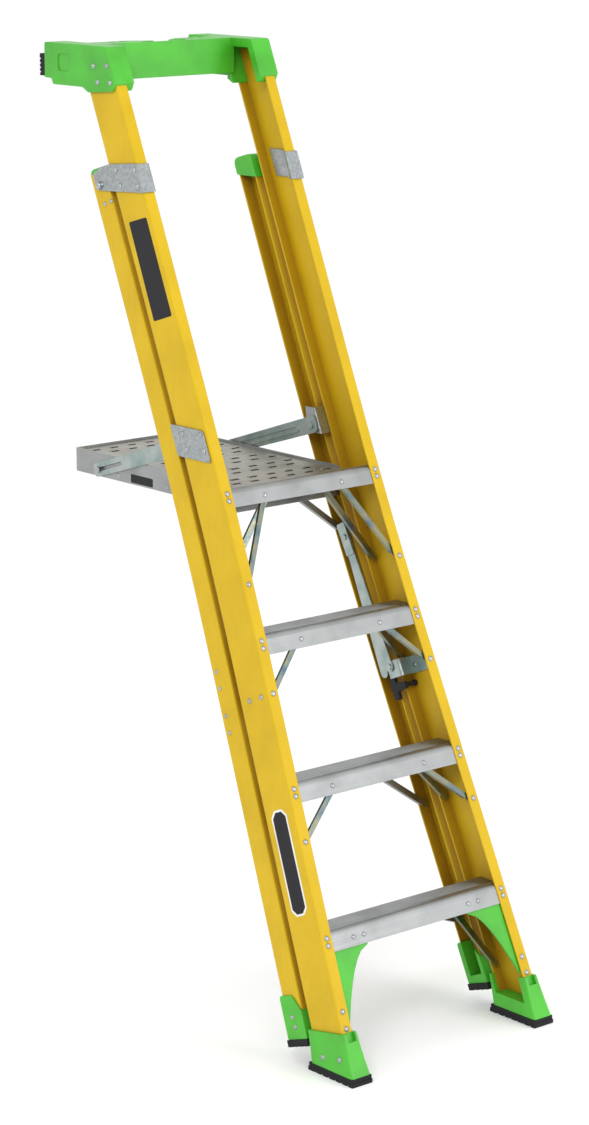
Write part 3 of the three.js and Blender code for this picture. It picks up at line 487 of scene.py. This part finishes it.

# %% [markdown]
# ## The deck's pressed slots
# Each plank has staggered rows of short slots, each pressed up into a low hood with an
# opening under its front edge. The opening is not cut: a small black shape on the same
# points as the hood paints the shade seen through it. Cutting real holes would add
# nothing that can be seen at this size.

# %% Slot shapes


def hood(name, length, width, height, sink):
    """A low long dome with rounded ends, closed underneath."""
    rows, columns = 5, 12
    verts, faces = [], []
    for r in range(rows):
        t = r / (rows - 1)
        lift = height * math.sin(t * math.pi / 2)
        shrink = math.cos(t * math.pi / 2) * 0.92 + 0.08
        for c in range(columns):
            turn = 2 * math.pi * c / columns
            x = math.cos(turn) * width / 2 * shrink + math.copysign(
                (length - width) / 2, math.cos(turn))
            verts.append((x, math.sin(turn) * width / 2 * shrink, lift - sink))
    for r in range(rows - 1):
        for c in range(columns):
            d = (c + 1) % columns
            a, b = r * columns, (r + 1) * columns
            faces.append((a + c, a + d, b + d, b + c))
    faces.append(tuple(range((rows - 1) * columns, rows * columns)))
    faces.append(tuple(reversed(range(columns))))
    mesh = bpy.data.meshes.new(name)
    mesh.from_pydata(verts, [], faces)
    for face in mesh.polygons:
        face.use_smooth = True
    return bpy.data.objects.new(name, mesh)


raised = hood("slot_hood", 25, 10, 2.2, 0.2)
# This black shape is painted shade where each slot opens.
hole_shade = hood("slot_opening", 23, 6, 1.6, 0.2)

# %% Slots on the planks
low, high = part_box("platform_deck")
PLANKS, SLOT_PITCH = 6, 0.053
pitch = (high[1] - low[1]) / PLANKS
hoods, mouth_shades = [], []
UP = Vector((0, 0, 1))
for plank in range(PLANKS):
    for row in range(2):
        y = low[1] + pitch * (plank + 0.3 + 0.4 * row)
        columns = 6 if (row + plank) % 2 == 0 else 5
        for c in range(columns):
            x = (c - (columns - 1) / 2) * SLOT_PITCH
            hoods.append(((x, y + 0.003, high[2]), UP, 1.0))
            mouth_shades.append(((x, y - 0.0035, high[2] + 0.0001), UP, 1.0))
scatter("deck_slot_hoods", raised, hoods, deck_metal, "platform")
# Black copies under each hood's front edge: painted shade in the slot openings.
scatter("deck_slot_mouths", hole_shade, mouth_shades, black, "platform")

# %% [markdown]
# ## Labels
# The real labels carry lettering, which is left off. Each is a thin plate with rounded
# corners, sunk a hair into the face it sits on so that no light shows under it.

# %% Label plates


def plate(name, corners, normal, thick, material, body, sink=0.0001):
    """A thin prism on a flat outline given as points in the frame."""
    count = len(corners)
    verts = [Vector(p) - normal * sink for p in corners]
    verts += [Vector(p) + normal * thick for p in corners]
    area = sum(((verts[i] - verts[0]).cross(verts[i + 1] - verts[0]) for i in range(1, count - 1)),
               Vector())
    if area.dot(normal) < 0:
        verts = list(reversed(verts[:count])) + list(reversed(verts[count:]))
    faces = [tuple(reversed(range(count))), tuple(range(count, 2 * count))]
    for i in range(count):
        j = (i + 1) % count
        faces.append((i, j, count + j, count + i))
    mesh = bpy.data.meshes.new(name)
    mesh.from_pydata(verts, [], faces)
    made = bpy.data.objects.new(name, mesh)
    mesh.materials.append(material)
    bpy.context.scene.collection.objects.link(made)
    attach(made, body)
    return made


def cornered(a0, a1, b0, b1, cut):
    """A rectangle with its corners cut."""
    return [(a0 + cut, b0), (a1 - cut, b0), (a1, b0 + cut), (a1, b1 - cut), (a1 - cut, b1),
            (a0 + cut, b1), (a0, b1 - cut), (a0, b0 + cut)]


def rail_label(name, outline, lift, material):
    """A label on the left rail's outer face."""
    points = [on_rail(-1, -lift, v, s) for v, s in outline]
    return plate(name, points, OUT[-1], 0.0004, material, "front_frame")


# The upper label sits a little askew: its front edge ends a few millimetres lower.
upper = [(18, 1732), (15, 1735), (15, 1958), (18, 1961), (77, 1969), (80, 1966), (82, 1741),
         (79, 1738)]
rail_label("label_upper", upper, 0.0, black)
rail_label("label_lower_border", cornered(25, 79, 380, 616, 14), 0.0, pale)
rail_label("label_lower", cornered(30, 74, 385, 611, 12), 0.4, black)
side_points = [level(-DECK_HALF, y, z) for y, z in cornered(849, 931, 1166, 1186, 2)]
plate("label_platform", side_points, OUT[-1], 0.0004, black, "platform")
print("labels made")

# %% [markdown]
# ## Floor, light and camera
# A pale floor that runs out of sight, a large soft key from the camera's left and a wide
# weak fill keep the light as even as in a studio. The camera stands about seven metres
# off with a long lens, half a metre above the ladder's top, so the rails barely converge.

# %% Studio
floor_mesh = bpy.data.meshes.new("floor")
REACH = 30
floor_mesh.from_pydata([(-REACH, -REACH, 0), (REACH, -REACH, 0), (REACH, REACH, 0),
                        (-REACH, REACH, 0)], [], [(0, 1, 2, 3)])
floor = bpy.data.objects.new("floor", floor_mesh)
floor_mat, tree, shader = new_material("floor", (0.97, 0.97, 0.97), rough=0.95)
shader.inputs["Specular IOR Level"].default_value = 0.1
floor_mesh.materials.append(floor_mat)
bpy.context.scene.collection.objects.link(floor)

world = bpy.data.worlds.new("studio")
bpy.context.scene.world = world
world.use_nodes = True
world.node_tree.nodes["Background"].inputs["Color"].default_value = (1, 1, 1, 1)
world.node_tree.nodes["Background"].inputs["Strength"].default_value = 1.04


def area_light(name, place, target, size, power):
    """A square soft light aimed at a point."""
    lamp = bpy.data.lights.new(name, "AREA")
    lamp.size = size
    lamp.energy = power
    made = bpy.data.objects.new(name, lamp)
    made.location = place
    made.rotation_euler = (Vector(target) - Vector(place)).to_track_quat("-Z", "Y").to_euler()
    bpy.context.scene.collection.objects.link(made)
    return made


area_light("key", (-4.5, -3.0, 5.0), (0, 0, 1.0), 2.0, 95)
area_light("fill", (2.0, -5.5, 2.5), (0, 0, 1.0), 3.0, 90)

# %% Camera
YAW, PITCH = math.radians(40.335), math.radians(12.628)
lens = bpy.data.cameras.new("view")
lens.sensor_width = 36
lens.lens = 103.05
lens.shift_x = -0.0018
lens.shift_y = -0.0153
lens.clip_end = 100
camera = bpy.data.objects.new("view", lens)
camera.location = level(-4600.0, -4883.7, 2652.9)
camera.rotation_euler = (math.pi / 2 - PITCH, 0, -YAW)
bpy.context.scene.collection.objects.link(camera)
bpy.context.scene.camera = camera
bpy.context.scene.view_settings.view_transform = "Standard"
print("camera", [round(c, 3) for c in camera.location])
